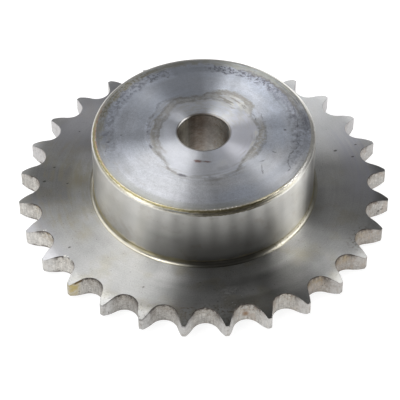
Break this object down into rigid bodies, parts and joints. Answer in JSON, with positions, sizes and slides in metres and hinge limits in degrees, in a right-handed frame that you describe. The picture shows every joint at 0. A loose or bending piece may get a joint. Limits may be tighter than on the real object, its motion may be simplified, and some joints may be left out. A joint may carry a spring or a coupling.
{
  "type": "chain sprocket",
  "caption": "Steel roller chain sprocket: a toothed plate with a round boss on one side and a plain pilot bore through both.",
  "frame": {"origin": "centre of the plate's flat back face, on the axis of the bore", "axes": "+Z along the bore, from the plate towards the boss; +X through the middle of a tooth gap"},
  "size_m": [0.1174, 0.1174, 0.03],
  "materials": {
    "turned_steel": "bright turned and cut steel with tool marks, an oil film and light brown stains"
  },
  "bodies": {
    "root": {"sprocket": "turned_steel"}
  },
  "joints": []
}
